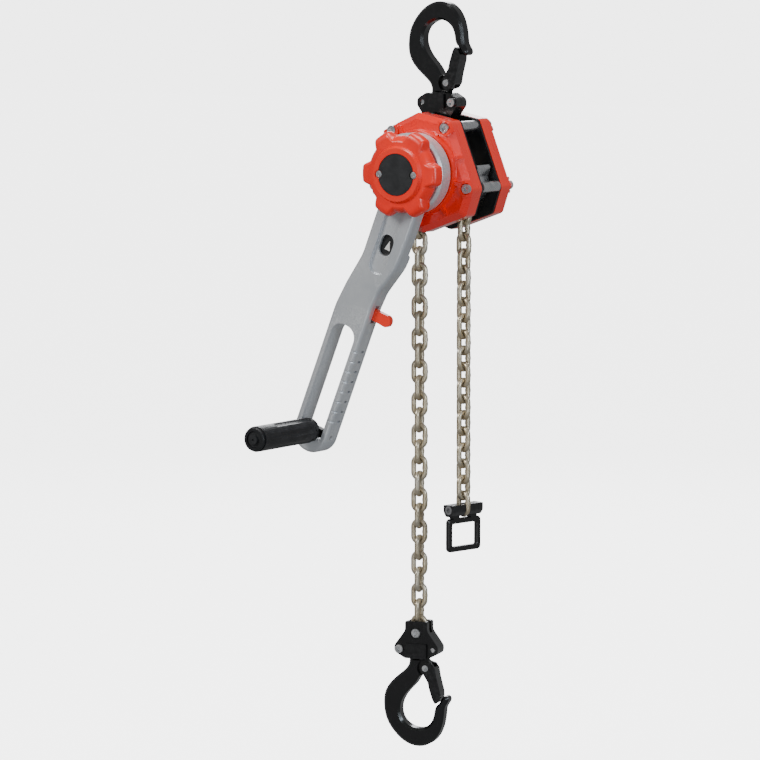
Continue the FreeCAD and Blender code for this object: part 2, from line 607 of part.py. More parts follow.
knob = Part.makeLoft([knob_wire(-67.6, 43.6, 5.5), knob_wire(-70.5, 45.8, 6.4), knob_wire(-79.5, 46.0, 7.4), knob_wire(-82.6, 44.0, 7.8), knob_wire(-84.2, 39.5, 6.0)], True, False)
knob = fuse(knob, cone_y(27.6, 31.0, KNOB_FACE, -82.0))
knob = knob.cut(cyl_y(21.9, KNOB_FACE - 1, KNOB_FACE + 2.2))
knob = knob.cut(cyl_y(36.0, -80.0, -60.0).cut(cyl_y(13.5, -81, -59)))
knob = knob.cut(cyl_y(4.06, -90, -60)).cut(cyl_y(9.5, -90, -79.6))
knob = knob.cut(cyl_y(11.85, -70, -58))
for sx in (-1, 1):
    knob = knob.cut(cyl_y(4.2, KNOB_FACE - 1, KNOB_FACE + 1.6, sx * 21.2, 0)).cut(cyl_y(1.55, KNOB_FACE - 1, -79.0, sx * 21.2, 0))
add("hand_knob", knob)
cap = cyl_y(21.4, KNOB_FACE + 0.1, KNOB_FACE + 2.1)
for sx in (-1, 1):
    cap = cap.cut(cyl_y(4.3, KNOB_FACE - 1, KNOB_FACE + 3, sx * 21.2, 0))
cap = fuse(cap, cyl_y(16.5, KNOB_FACE + 2.0, KNOB_FACE + 3.0).common(cyl_y(9.2, KNOB_FACE, KNOB_FACE + 5)))
add("knob_cap", cap)
for sx in (-1, 1):
    s = fuse(Part.makeCone(2.5, 3.7, 0.9, V(sx * 21.2, KNOB_FACE - 0.5, 0), V(0, 1, 0)), cyl_y(3.7, KNOB_FACE + 0.4, KNOB_FACE + 1.5, sx * 21.2, 0), cyl_y(1.45, KNOB_FACE + 1.5, -79.3, sx * 21.2, 0))
    add("knob_fasteners", s.cut(hexa_y(2.6, KNOB_FACE - 1, KNOB_FACE + 0.5, sx * 21.2, 0)))
add("knob_fasteners", hexa_y(12.0, -83.6, -79.7).cut(cyl_y(4.05, -90, -75)))
# free-spool spring between the lever hub and the knob, drawn as stacked turns
for k in range(3):
    add("free_spool_spring", Part.makeTorus(15.6, 0.9, V(0, -66.2 - k * 2.2, 0), V(0, 1, 0)))

# ================================================================== lever (local: s down the arm, t across)
LT = math.radians(LEVER_TILT)


def lev(s, t):
    """Lever point (s along the arm, t to its right) to X, Z."""
    return (-math.sin(LT) * s + math.cos(LT) * t, -math.cos(LT) * s - math.sin(LT) * t)


def lev_wire(pts, y):
    """Closed smooth outline through (s, t) points."""
    b = Part.BSplineCurve()
    b.interpolate(Points=[V(lev(s, t)[0], y, lev(s, t)[1]) for s, t in pts], PeriodicFlag=True)
    return Part.Wire([b.toShape()])


def lev_prism(pts, y0, y1, radius=0.0):
    return poly_y([lev(s, t) for s, t in pts], y0, y1, radius)


ARM = [(20, -21.8), (100, -21.4), (136, -29.2), (162, -33.0), (324.0, -33.0), (324.0, 10.9),
       (150, 10.9), (132, 12.6), (98, 23.6), (60, 25.0), (20, 25.4)]
ARM_R = [0.1, 60, 60, 80, 21.5, 21.5, 40, 40, 60, 60, 0.1]
arm = lev_prism(ARM, LEVER_Y0, LEVER_Y1, ARM_R)
arm = rounded(arm, 4.0, lambda e: e.BoundBox.YLength < 0.01 and e.CenterOfMass.y < LEVER_Y0 + 0.1)
deep = lev_prism([(84, -21.6), (100, -21.4), (136, -29.2), (162, -33.0), (324.0, -33.0), (324.0, 10.9), (150, 10.9), (132, 12.6), (98, 23.6), (84, 24.2)],
                 LEVER_Y1 - 4.5, LEVER_Y2, [3, 60, 60, 80, 21.5, 21.5, 40, 40, 60, 3])
deep = rounded(deep, 3.0, lambda e: e.BoundBox.YLength < 0.01 and e.CenterOfMass.y > LEVER_Y2 - 0.1)
arm = fuse(arm, deep)
hub = fuse(cyl_y(HUB_R, -63.5, -49.0), cone_y(HUB_R - 2.5, HUB_R, LEVER_Y0, -63.5))
lever = fuse(arm, hub)
# dish in front, gear room behind
lever = lever.cut(fuse(cone_y(37.6, 36.0, LEVER_Y0 - 0.1, -58.8)))
lever = lever.cut(cyl_y(24.5, -57.2, -48.0))
lever = lever.cut(cyl_y(12.4, -70, -40))
# channel down the front, window through it
ch = lev_prism([(30, -9.6), (113, -9.0), (113, 12.2), (30, 12.8)], -67, -62.6, [0.1, 10.0, 10.0, 0.1])
chan = ch.cut(cyl_y(38.2, -68, -50))
lever = lever.cut(chan)
win = lev_prism([(69, -6.3), (92, -6.3), (92, 9.7), (69, 9.7)], -70, -55, 7.9)
lever = lever.cut(win)
# pocket behind for the selector linkage
pocket = lev_prism([(16, -13), (50, -13), (54, -9), (92, -8), (126, -10), (148, -15.5), (172, -15.5), (172, 3.5), (150, 3.5), (126, 9), (92, 12.5), (54, 12.5), (50, 17), (16, 17)], -59.4, -49, 1.5)
lever = lever.cut(pocket)
# side slit for the selector's paddle
lever = lever.cut(lev_prism([(146.5, 0), (166.5, 0), (166.5, 22), (146.5, 22)], -57.8, -50.6))
# storage slot for the crank grip
slot = lev_prism([(SLOT_TOP, GRIP_T - 15.0), (GRIP_S + 6.4, GRIP_T - 15.0), (GRIP_S + 6.4, GRIP_T + 15.0), (SLOT_TOP, GRIP_T + 15.0)], -70, -40, [13.0, 2.0, 2.0, 13.0])
lever = lever.cut(slot)
# grip hinge bore across the end
gx0, gz0 = lev(GRIP_S, -45)
gx1, gz1 = lev(GRIP_S, 25)
lever = lever.cut(Part.makeCylinder(2.55, 70, V(gx0, -58.0, gz0), V(gx1 - gx0, 0, gz1 - gz0)))
# finger grooves on the right edge
for k in range(8):
    s = 200.0 + 11.6 * k
    x, z = lev(s, 2.4)
    lever = lever.cut(Part.makeTorus(9.8, 1.35, V(x, -58.0, z), V(lev(s + 1, 0)[0] - lev(s, 0)[0], 0, lev(s + 1, 0)[1] - lev(s, 0)[1])))
# seat for the back plate
bp = [(20, -15.5), (52, -15.5), (58, -12), (92, -11), (126, -13), (147, -18.5), (173.5, -18.5), (173.5, 6.3), (150, 6.3), (127, 12), (92, 15.5), (58, 15.5), (52, 19.5), (20, 19.5)]
plate = fuse(lev_prism(bp, -50.9, -49.2, 3.0), cyl_y(27.5, -50.9, -49.2))
seat = fuse(lev_prism([(16, -15.8), (52, -15.8), (58, -12.3), (92, -11.3), (126, -13.3), (147, -18.8), (173.8, -18.8), (173.8, 6.6), (150, 6.6), (127, 12.3), (92, 15.8), (58, 15.8), (52, 19.8), (16, 19.8)], -50.95, -40.0, 2.5), cyl_y(27.8, -50.95, -48.0))
lever = lever.cut(seat)
plate = plate.cut(cyl_y(13.8, -60, -40))
screws = []
for s, t in ((70, -10.1), (70, 14.0), (160.0, -16.1)):
    x, z = lev(s, t)
    lever = lever.cut(cyl_y(1.25, -56, -49, x, z))
    plate = plate.cut(cyl_y(1.3, -56, -40, x, z))
    screws.append(fuse(cyl_y(1.2, -55.6, -49.1, x, z), cyl_y(2.4, -49.15, -48.0, x, z)).cut(box(x - 0.3, -48.4, z - 3, x + 0.3, -47, z + 3)))
add("lever", lever)
add("lever_back_plate", plate)
add("lever_back_screws", *screws)

# selector: paddle, link rod, indicator and driving pawl
SEL_S, SEL_T = 156.5, -6.0
x, z = lev(SEL_S, SEL_T)
sel = fuse(lev_prism([(SEL_S - 4.6, SEL_T), (SEL_S - 5.8, 11), (SEL_S - 6.5, 33), (SEL_S + 6.5, 33), (SEL_S + 5.8, 11), (SEL_S + 4.6, SEL_T)], -57.2, -51.4, [1, 1, 5.8, 5.8, 1, 1]),
           cyl_y(5.4, -57.2, -51.4, x, z), lev_prism([(SEL_S - 11, SEL_T - 2.2), (SEL_S, SEL_T - 2.2), (SEL_S, SEL_T + 2.2), (SEL_S - 11, SEL_T + 2.2)], -57.2, -54.4))
sel = sel.cut(cyl_y(2.05, -60, -50, x, z))
add("selector", sel)
add("lever_pins", cyl_y(2.0, -60.8, -51.0, x, z))
lever_cut_pin = cyl_y(2.02, -61.0, -50.0, x, z)
PARTS["lever"] = [PARTS["lever"][0].cut(lever_cut_pin)]
link_rod = fuse(lev_prism([(46, -1.6), (142.6, -1.6), (142.6, 1.6), (46, 1.6)], -54.0, -52.0),
                lev_prism([(141.0, -7.5), (144.8, -7.5), (144.8, 1.6), (141.0, 1.6)], -54.0, -52.0))
add("selector_link", link_rod)
ind = lev_prism([(62, -5.6), (95, -5.6), (95, 9.0), (62, 9.0)], -58.6, -57.6, 2.0)
ind = fuse(ind, lev_prism([(76, -1.4), (82, -1.4), (82, 1.4), (76, 1.4)], -58.0, -54.05))
ind = fuse(ind, lev_prism([(74.0, 1.7), (84.5, 6.6), (84.5, -3.2)], -59.0, -58.5))
add("direction_plate", ind)

DP_S, DP_T = 35.0, 2.0
x, z = lev(DP_S, DP_T)
# rocking pawl, clear of the teeth in neutral
dp = fuse(cyl_y(4.6, -56.6, -51.2, x, z),
          lev_prism([(DP_S - 12.5, DP_T - 11.5), (DP_S - 9.0, DP_T - 13.5), (DP_S + 1.5, DP_T - 4.0), (DP_S + 1.5, DP_T + 4.0), (DP_S - 9.0, DP_T + 13.5), (DP_S - 12.5, DP_T + 11.5), (DP_S - 11.0, DP_T + 6.0), (DP_S - 11.0, DP_T - 6.0)], -56.6, -51.2))
dp = dp.cut(cyl_y(20.6, -60, -50)).cut(cyl_y(2.55, -60, -50, x, z))
add("drive_pawl", dp)
add("lever_pins", cyl_y(2.5, -59.5, -51.0, x, z))
PARTS["lever"] = [PARTS["lever"][0].cut(cyl_y(2.52, -59.6, -50.0, x, z))]

# ================================================================== crank grip (stands out along -Y)
hx, hz = lev(GRIP_S, GRIP_T)
HY = -58.0


def on_grip(shape):
    """From grip frame (hinge at 0, grip along -Y, hinge axis along X) to the lever's end."""
    s = shape.copy()
    s.rotate(V(0, 0, 0), V(0, 1, 0), LEVER_TILT)
    s.translate(V(hx, HY, hz))
    return s


knuckle = fuse(cyl_x(5.2, -13.8, 13.8), Part.makeBox(20, 12, 10.4, V(-10, -12, -5.2)))
knuckle = fuse(knuckle, cyl_y(12.6, -14.6, -9.6), cyl_y(4.0, -GRIP_LEN + 3.2, -12.0))
tab = fuse(box(-6.5, -11.5, 4.6, 6.5, -6.0, 6.6), box(4.0, -7.2, 4.9, 14.2, -5.2, 6.4).common(box(-13.9, -12, 0, 14.2, 0, 9)))
knuckle = knuckle.cut(cyl_x(2.56, -20, 20))
add("grip_spindle", on_grip(knuckle))
add("grip_spindle", on_grip(box(-9.0, -9.4, 5.25, 14.2, -2.0, 6.7).common(box(-9.0, -9.4, 5.25, 14.2, -6.2, 6.7)).fuse(box(7.0, -9.0, 5.25, 14.2, -2.2, 6.7)).removeSplitter()))
sl = fuse(cyl_y(13.4, -GRIP_LEN + 6.0, -15.0), cyl_y(12.4, -GRIP_LEN + 2.0, -GRIP_LEN + 6.5))
sl = rounded(sl, 1.2, lambda e: e.Curve.TypeId == "Part::GeomCircle" and e.CenterOfMass.y < -GRIP_LEN + 3)
for k in range(6):
    a = math.radians(60 * k + 30)
    g = cyl_y(9.0, -80.0, -14.0, 21.0 * math.cos(a), 21.0 * math.sin(a))
    sl = sl.cut(g)
sl = sl.cut(cyl_y(4.05, -120, -10)).cut(cyl_y(8.6, -120, -GRIP_LEN + 5.0))
add("grip_sleeve", on_grip(sl))
add("grip_end_washer", on_grip(fuse(cyl_y(8.3, -GRIP_LEN + 3.3, -GRIP_LEN + 4.9).cut(cyl_y(4.02, -120, -100)), cyl_y(5.0, -GRIP_LEN + 0.6, -GRIP_LEN + 3.3).cut(cyl_y(4.02, -GRIP_LEN + 3.0, -100)).cut(cyl_y(1.1, -120, -GRIP_LEN + 2.2)))))
add("grip_hinge_pin", on_grip(cyl_x(2.5, -21.6, 21.6)))

# ================================================================== top hook and its block
bs = block_set(False, 9.6)
for k, n in (("front", "top_block_front"), ("rear", "top_block_rear")):
    add(n, place_block(bs[k], BLOCK_TOP_Z, invert=True))
add("top_block_bolts", *[place_block(s, BLOCK_TOP_Z, invert=True) for s in bs["bolts"]])
PARTS["top_block_front"] = [PARTS["top_block_front"][0].cut(cyl_y(4.08, -20, 20, 0, BLOCK_TOP_Z - PIN_UP))]
PARTS["top_block_rear"] = [PARTS["top_block_rear"][0].cut(cyl_y(4.08, -20, 20, 0, BLOCK_TOP_Z - PIN_UP))]

HB, HL, HP, HS = hook_body(), hook_latch(), latch_pin(), latch_spring()


def to_top(shape):
    s = shape.copy()
    s.rotate(V(0, 0, 0), V(1, 0, 0), 180)
    s.translate(V(0, 0, BLOCK_TOP_Z + 9.6 + TOP_GAP))
    return s


TOP_GAP = 0.0
for sh, n in ((HB, "top_hook"), (HL, "top_hook_latch"), (HP, "top_latch_fittings"), (HS, "top_latch_fittings")):
    add(n, to_top(sh))

# ================================================================== chain falls, bottom block and hook
for i, s in enumerate(fall(-FALL_X, LOAD_LINKS, LOAD_YAW)):
    add("load_chain_entry" if i < ENTRY_LINKS else "load_chain", s)
for i, s in enumerate(fall(FALL_X, TAIL_LINKS, TAIL_YAW)):
    add("slack_chain_entry" if i < ENTRY_LINKS else "slack_chain", s)
last = FALL_Z - LOAD_LINKS * PITCH       # one more link, upright, held by the chain pin
add("load_chain", shift(turn(LINK_U, LOAD_YAW), x=-FALL_X, z=last))
BLOCK_BOT_Z = last - 23.0
bs = block_set(True, 12.3)
for k, n in (("front", "bottom_block_front"), ("rear", "bottom_block_rear"), ("pin", "chain_pin")):
    add(n, place_block(bs[k], BLOCK_BOT_Z, LOAD_YAW, -FALL_X))
add("bottom_block_bolts", *[place_block(s, BLOCK_BOT_Z, LOAD_YAW, -FALL_X) for s in bs["bolts"]])
for sh, n in ((HB, "bottom_hook"), (HL, "bottom_hook_latch"), (HP, "bottom_latch_fittings"), (HS, "bottom_latch_fittings")):
    add(n, place_block(sh, BLOCK_BOT_Z - 9.6, LOAD_YAW, -FALL_X))

# ================================================================== slack end stop
TAIL_Z = FALL_Z - (TAIL_LINKS - 1) * PITCH   # centre of the last slack link, upright


def stop_place(s):
    return shift(turn(s, TAIL_YAW), x=FALL_X, z=TAIL_Z)


# drawn about the last link's centre: bar along Y, through the link's lower bow
PZ = -PITCH / 2.0 + 3.05
bar = poly_y([(-7.0, PZ + 5.4), (7.0, PZ + 5.4), (7.0, PZ - 2.0), (3.6, PZ - 7.0), (-3.6, PZ - 7.0), (-7.0, PZ - 2.0)], -22.5, 22.5, [1, 1, 3, 3, 3, 3])
bar = bar.cut(box(-12, -3.3, -30, 12, 3.3, 20))
tie = box(-2.9, -5.0, PZ - 14.5, 2.9, 5.0, PZ - 9.5)
RZ = PZ - 12.0
ring_o = [(-24.0, RZ + 2.9), (24.0, RZ + 2.9), (24.0, RZ - 32.5), (-24.0, RZ - 32.5)]
ring_i = [(-18.2, RZ - 2.9), (18.2, RZ - 2.9), (18.2, RZ - 26.7), (-18.2, RZ - 26.7)]


def ring_x(pts, x0, x1, r):
    w = poly_y(pts, x0, x1, r)
    w.rotate(V(0, 0, 0), V(0, 0, 1), 90)
    return w


ring = ring_x(ring_o, -2.9, 2.9, 4.5).cut(ring_x(ring_i, -4, 4, 2.0))
ring = rounded(ring, 1.6, lambda e: e.BoundBox.XLength < 0.01)
legs = [box(-2.9, s * 13.0 - 4.5, RZ, 2.9, s * 13.0 + 4.5, PZ - 5.0) for s in (-1, 1)]
stop = fuse(bar, ring, legs[0], legs[1])
stop = stop.cut(cyl_y(3.05, -30, 30, 0, PZ))
stop = stop.cut(cyl_y(4.9, -30, -18.6, 0, PZ))
add("slack_end_stop", stop_place(stop))
pin = fuse(cyl_y(3.0, -20, 22.4, 0, PZ), cyl_y(4.7, -22.3, -18.6, 0, PZ)).cut(hexa_y(5.0, -23, -19.8, 0, PZ))
add("stop_bolt", stop_place(pin))

# ------------------------------------------------------------------ move to the seat and write
SEAT_Z = BLOCK_TOP_Z + 9.6 + SEAT_H
OFF = V(0, 0, -SEAT_Z)
if OFF:
    print("seat", SEAT_Z, "fall_x", FALL_X, "block_bot", BLOCK_BOT_Z, "tail", TAIL_Z, "hinge", hx, HY, hz, "lever", lev(SEL_S, SEL_T), lev(DP_S, DP_T))
    for node, shapes in sorted(PARTS.items()):
        solids = []
        for s in shapes:
            s = s.copy()
            s.translate(OFF)
            solids.extend(s.Solids)
        bad = [i for i, s in enumerate(solids) if not s.isValid() or s.Volume <= 0]
        out = solids[0] if len(solids) == 1 else Part.makeCompound(solids)
        out.exportStep("parts/%s.step" % node)
        if bad or len(solids) != len(shapes):
            print("CHECK", node, "solids", len(solids), "shapes", len(shapes), "bad", bad, [round(s.Volume, 1) for s in solids][:6])
    print("nodes", len(PARTS))
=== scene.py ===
import bpy
import bmesh
import json
import math
from mathutils import Vector, Matrix


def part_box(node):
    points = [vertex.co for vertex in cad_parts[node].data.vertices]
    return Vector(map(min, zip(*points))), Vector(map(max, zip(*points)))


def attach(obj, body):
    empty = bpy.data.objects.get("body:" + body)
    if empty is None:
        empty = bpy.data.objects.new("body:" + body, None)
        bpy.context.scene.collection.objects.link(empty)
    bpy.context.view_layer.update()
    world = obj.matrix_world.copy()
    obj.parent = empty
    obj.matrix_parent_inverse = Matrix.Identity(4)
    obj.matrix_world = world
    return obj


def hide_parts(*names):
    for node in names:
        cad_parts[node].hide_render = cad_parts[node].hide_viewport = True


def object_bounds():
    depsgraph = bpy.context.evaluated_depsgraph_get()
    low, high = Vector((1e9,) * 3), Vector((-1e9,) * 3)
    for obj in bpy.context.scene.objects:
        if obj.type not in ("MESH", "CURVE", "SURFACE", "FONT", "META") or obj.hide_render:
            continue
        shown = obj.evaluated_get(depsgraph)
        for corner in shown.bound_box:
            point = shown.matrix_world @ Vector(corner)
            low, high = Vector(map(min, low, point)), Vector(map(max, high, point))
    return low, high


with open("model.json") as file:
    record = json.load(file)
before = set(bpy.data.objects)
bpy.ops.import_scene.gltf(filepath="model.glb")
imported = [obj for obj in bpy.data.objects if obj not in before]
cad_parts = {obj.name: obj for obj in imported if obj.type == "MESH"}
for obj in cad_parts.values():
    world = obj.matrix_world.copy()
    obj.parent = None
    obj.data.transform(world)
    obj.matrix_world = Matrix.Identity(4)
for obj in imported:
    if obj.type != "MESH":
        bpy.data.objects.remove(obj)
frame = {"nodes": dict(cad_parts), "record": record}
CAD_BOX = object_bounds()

D = bpy.data
SCN = bpy.context.scene


def col(obj):
    SCN.collection.objects.link(obj)
    return obj


# ------------------------------------------------------------------ camera, light, floor
TARGET = Vector((-0.0538, -0.0356, -0.3772))
AZ, EL, DIST = math.radians(33.5), math.radians(6.2), 4.5
cam = D.cameras.new("camera")
cam.sensor_width = 36.0
cam.lens = 203.0
cam.clip_end = 50.0
cam_o = col(D.objects.new("camera", cam))
cam_o.location = TARGET + DIST * Vector((math.sin(AZ) * math.cos(EL), -math.cos(AZ) * math.cos(EL), math.sin(EL)))
cam_o.rotation_euler = (TARGET - cam_o.location).to_track_quat("-Z", "Y").to_euler()
SCN.camera = cam_o


def area(name, loc, size, power, color=(1, 1, 1), size_y=None):
    l = D.lights.new(name, "AREA")
    l.energy = power
    l.color = color
    l.shape = "RECTANGLE"
    l.size = size
    l.size_y = size_y or size
    o = col(D.objects.new(name, l))
    o.location = loc
    o.rotation_euler = (Vector((-0.04, 0, -0.35)) - Vector(loc)).to_track_quat("-Z", "Y").to_euler()
    return o


area("key", (-1.1, -2.1, 1.3), 0.9, 52, (1.0, 0.985, 0.955))
area("side", (2.2, -0.9, 0.2), 0.6, 30, (0.80, 0.90, 1.0), 1.5)
area("top", (0.2, 0.1, 1.7), 0.8, 24)
area("back", (-1.2, 2.0, 0.5), 1.0, 16, (0.96, 0.98, 1.0))
area("low", (0.5, -2.2, -0.75), 0.7, 5)

world = D.worlds.new("world")
SCN.world = world
world.use_nodes = True
wt = world.node_tree
bg = wt.nodes["Background"]
bg.inputs[0].default_value = (0.93, 0.945, 0.96, 1)
bg.inputs[1].default_value = 0.30
seen = wt.nodes.new("ShaderNodeBackground")
seen.inputs[0].default_value = (1, 1, 1, 1)
seen.inputs[1].default_value = 4.2
lp = wt.nodes.new("ShaderNodeLightPath")
mx = wt.nodes.new("ShaderNodeMixShader")
wt.links.new(lp.outputs["Is Camera Ray"], mx.inputs[0])
wt.links.new(bg.outputs[0], mx.inputs[1])
wt.links.new(seen.outputs[0], mx.inputs[2])
wt.links.new(mx.outputs[0], wt.nodes["World Output"].inputs[0])

me = D.meshes.new("floor")
fz = CAD_BOX[0][2] - 0.035
me.from_pydata([(-14, -14, fz), (14, -14, fz), (14, 14, fz), (-14, 14, fz)], [], [(0, 1, 2, 3)])
floor = col(D.objects.new("floor", me))


# ------------------------------------------------------------------ materials
class Mat:
    """A Principled material with object-space noise for colour, roughness and bump."""

    def __init__(self, name, base, rough, metallic=0.0, **sock):
        self.m = D.materials.new(name)
        self.m.use_nodes = True
        self.m.diffuse_color = (*base, 1)
        self.t = self.m.node_tree
        self.n = self.t.nodes
        self.p = self.n["Principled BSDF"]
        self.p.inputs["Metallic"].default_value = metallic
        for k, v in sock.items():
            self.p.inputs[k.replace("_", " ")].default_value = v
        self.base, self.rough = base, rough
        self.tc = self.n.new("ShaderNodeTexCoord")
        self.height = None
        self.color = None
        self.r = None

    def link(self, a, b):
        self.t.links.new(a, b)

    def noise(self, scale, detail=4.0, rough=0.55, stretch=(1, 1, 1), rot=(0, 0, 0)):
        mp = self.n.new("ShaderNodeMapping")
        mp.inputs["Scale"].default_value = stretch
        mp.inputs["Rotation"].default_value = rot
        self.link(self.tc.outputs["Object"], mp.inputs["Vector"])
        t = self.n.new("ShaderNodeTexNoise")
        t.inputs["Scale"].default_value = scale
        t.inputs["Detail"].default_value = detail
        t.inputs["Roughness"].default_value = rough
        self.link(mp.outputs["Vector"], t.inputs["Vector"])
        return t.outputs["Fac"]

    def voronoi(self, scale, feature="F1"):
        t = self.n.new("ShaderNodeTexVoronoi")
        t.feature = feature
        t.inputs["Scale"].default_value = scale
        self.link(self.tc.outputs["Object"], t.inputs["Vector"])
        return t.outputs["Distance"]

    def ramp(self, fac, stops):
        r = self.n.new("ShaderNodeValToRGB")
        els = r.color_ramp.elements
        while len(els) < len(stops):
            els.new(0.5)
        for e, (pos, c) in zip(els, stops):
            e.position = pos
            e.color = (*c, 1) if len(c) == 3 else c
        self.link(fac, r.inputs["Fac"])
        return r.outputs["Color"]

    def mix(self, fac, a, b):
        m = self.n.new("ShaderNodeMix")
        m.data_type = "RGBA"
        if hasattr(fac, "links"):
            self.link(fac, m.inputs["Factor"])
        else:
            m.inputs["Factor"].default_value = fac
        for sock, v in ((m.inputs["A"], a), (m.inputs["B"], b)):
            if hasattr(v, "links"):
                self.link(v, sock)
            else:
                sock.default_value = (*v, 1)
        return m.outputs["Result"]

    def span(self, fac, lo, hi, a=0.25, b=0.75):
        r = self.n.new("ShaderNodeMapRange")
        r.inputs["From Min"].default_value = a
        r.inputs["From Max"].default_value = b
        r.inputs["To Min"].default_value = lo
        r.inputs["To Max"].default_value = hi
        self.link(fac, r.inputs["Value"])
        return r.outputs["Result"]

    def edge_highlight(self, color, highlight, lo=0.53, hi=0.60, breakup=None):
        """Painted highlight: a lighter colour on convex edges, broken up by noise."""
        g = self.n.new("ShaderNodeNewGeometry")
        # mask of convex edges that get the painted highlight
        e = self.span(g.outputs["Pointiness"], 0.0, 1.0, lo, hi)
        if breakup is not None:
            k = self.n.new("ShaderNodeMath")
            k.operation = "MULTIPLY"
            k.use_clamp = True
            self.link(e, k.inputs[0])
            self.link(self.span(breakup, 0.0, 1.0, 0.42, 0.6), k.inputs[1])
            e = k.outputs[0]
        return self.mix(e, color, highlight)

    def finish(self, color, rough, bumps):
        self.link(color, self.p.inputs["Base Color"])
        self.link(rough, self.p.inputs["Roughness"])
        prev = None
        for h, strength, dist in bumps:
            b = self.n.new("ShaderNodeBump")
            b.inputs["Strength"].default_value = strength
            b.inputs["Distance"].default_value = dist
            self.link(h, b.inputs["Height"])
            if prev is not None:
                self.link(prev, b.inputs["Normal"])
            prev = b.outputs["Normal"]
        self.link(prev, self.p.inputs["Normal"])
        return self.m


def v(c, k):
    return tuple(min(1.0, x * k) for x in c)


def black_forged():
    m = Mat("black_forged", (0.010, 0.010, 0.011), 0.22, 0.0, Coat_Weight=0.35, Coat_Roughness=0.10)
    a, b, c = m.noise(38, 3), m.noise(260, 5), m.noise(900, 2)
    color = m.mix(m.span(a, 0.0, 1.0), (0.0012, 0.0012, 0.0014), (0.003, 0.003, 0.0035))
    # painted highlight: a lighter black on convex edges
    color = m.edge_highlight(color, (0.02, 0.02, 0.021), 0.56, 0.68, b)
    return m.finish(color, m.span(b, 0.14, 0.27), [(b, 0.12, 0.0004), (c, 0.06, 0.0001), (a, 0.25, 0.0012)])


def black_plate():
    m = Mat("black_plate", (0.014, 0.014, 0.015), 0.4)
    a, b = m.noise(60, 4), m.noise(800, 3)
    color = m.mix(m.span(a, 0.0, 1.0), (0.003, 0.003, 0.0035), (0.008, 0.008, 0.009))
    return m.finish(color, m.span(a, 0.34, 0.52), [(b, 0.18, 0.0002)])


def black_plastic():
    m = Mat("black_plastic", (0.016, 0.017, 0.019), 0.45)
    a, b = m.noise(120, 4), m.voronoi(1800)
    color = m.mix(m.span(a, 0.0, 1.0), (0.006, 0.0065, 0.0075), (0.014, 0.015, 0.017))
    return m.finish(color, m.span(a, 0.38, 0.52), [(b, 0.25, 0.0002)])


def black_rubber():
    m = Mat("black_rubber", (0.018, 0.019, 0.021), 0.6, 0.0, Specular_IOR_Level=0.4)
    a, b, c = m.noise(90, 5), m.voronoi(1400), m.noise(22, 3)
    color = m.mix(m.span(a, 0.0, 1.0), (0.005, 0.0055, 0.0065), (0.012, 0.0125, 0.0145))
    # painted highlight: a lighter black on convex edges
    color = m.edge_highlight(color, (0.025, 0.025, 0.028), 0.54, 0.64, a)
    return m.finish(color, m.span(c, 0.28, 0.46), [(b, 0.30, 0.0003), (a, 0.10, 0.0005)])


def orange_paint():
    m = Mat("orange_paint", (0.88, 0.052, 0.012), 0.24, 0.0, Coat_Weight=0.7, Coat_Roughness=0.08)
    a, b, c = m.noise(18, 3), m.noise(420, 3), m.noise(75, 5)
    color = m.mix(m.span(a, 0.0, 1.0), (0.86, 0.009, 0.001), (0.95, 0.016, 0.002))
    # painted highlight: a brighter orange on convex edges
    color = m.edge_highlight(color, (0.97, 0.035, 0.006), 0.54, 0.66)
    return m.finish(color, m.span(c, 0.22, 0.36), [(b, 0.07, 0.0004), (c, 0.05, 0.0008)])


def orange_plastic():
    m = Mat("orange_plastic", (0.88, 0.060, 0.014), 0.3, 0.0, Subsurface_Weight=0.04, Subsurface_Scale=0.002, Coat_Weight=0.25, Coat_Roughness=0.2)
    a, b, c = m.noise(30, 3), m.voronoi(1500), m.noise(150, 5)
    color = m.mix(m.span(a, 0.0, 1.0), (0.88, 0.012, 0.001), (0.96, 0.020, 0.002))
    # painted highlight: a brighter orange on convex edges
    color = m.edge_highlight(color, (0.97, 0.045, 0.010), 0.54, 0.66)
    return m.finish(color, m.span(c, 0.26, 0.42), [(b, 0.14, 0.0002), (c, 0.05, 0.0004)])


def aluminium():
    m = Mat("aluminium", (0.62, 0.635, 0.65), 0.34, 0.62)
    a, b, c = m.noise(26, 4), m.noise(640, 4), m.noise(1500, 2, 0.5, (1, 6, 1))
    color = m.mix(m.span(a, 0.0, 1.0), (0.53, 0.555, 0.59), (0.68, 0.695, 0.71))
    # painted highlight: a lighter grey on convex edges
    color = m.edge_highlight(color, (0.82, 0.83, 0.84), 0.53, 0.64, b)
    return m.finish(color, m.span(b, 0.30, 0.48), [(b, 0.20, 0.0003), (c, 0.10, 0.0001), (a, 0.06, 0.001)])


def zinc():
    m = Mat("zinc", (0.70, 0.71, 0.73), 0.25, 1.0)
    a, b = m.noise(160, 4), m.noise(1300, 3)
    color = m.mix(m.span(a, 0.0, 1.0), (0.58, 0.60, 0.63), (0.80, 0.80, 0.79))
    return m.finish(color, m.span(a, 0.18, 0.38), [(b, 0.12, 0.0001)])


def steel():
    m = Mat("steel", (0.45, 0.45, 0.46), 0.35, 1.0)
    a, b = m.noise(90, 4), m.noise(900, 3, 0.5, (1, 8, 1))
    color = m.mix(m.span(a, 0.0, 1.0), (0.36, 0.36, 0.37), (0.56, 0.56, 0.565))
    return m.finish(color, m.span(a, 0.26, 0.44), [(b, 0.20, 0.0001)])


def bronze():
    m = Mat("bronze", (0.50, 0.33, 0.15), 0.4, 1.0)
    a, b = m.noise(140, 4), m.voronoi(1600)
    color = m.mix(m.span(a, 0.0, 1.0), (0.42, 0.27, 0.12), (0.58, 0.40, 0.20))
    return m.finish(color, m.span(a, 0.32, 0.50), [(b, 0.25, 0.0001)])


def friction():
    m = Mat("friction", (0.16, 0.13, 0.11), 0.8)
    a, b = m.noise(500, 5), m.voronoi(700)
    color = m.mix(m.span(a, 0.0, 1.0), (0.10, 0.08, 0.07), (0.24, 0.20, 0.17))
    return m.finish(color, m.span(a, 0.7, 0.9), [(b, 0.5, 0.0003)])


